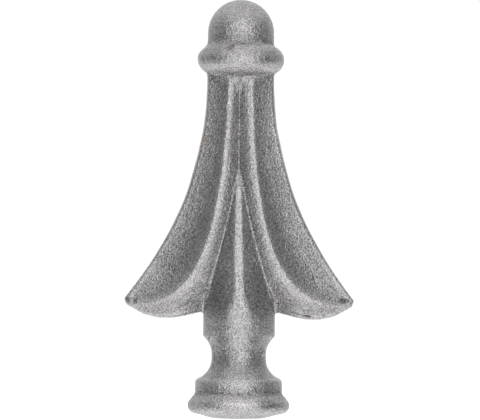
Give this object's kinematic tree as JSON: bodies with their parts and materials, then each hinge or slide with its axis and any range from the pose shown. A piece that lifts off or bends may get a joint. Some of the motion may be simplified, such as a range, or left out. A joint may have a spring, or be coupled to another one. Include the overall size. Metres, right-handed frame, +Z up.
{
  "type": "fence finial",
  "caption": "Solid cast iron fence finial: a domed cap and ring over two flaring leaves with a keel between them, on a waisted stem and round foot.",
  "frame": {"origin": "centre of the flat underside of the foot, on the surface it stands on", "axes": "+Z up the stem to the cap, the leaves flare along +X and -X, the front faces -Y"},
  "size_m": [0.0712, 0.028, 0.13],
  "materials": {
    "cast_iron": "raw grey sand-cast skin, fine grain, satin"
  },
  "bodies": {
    "root": {"finial_casting": "cast_iron"}
  },
  "joints": []
}
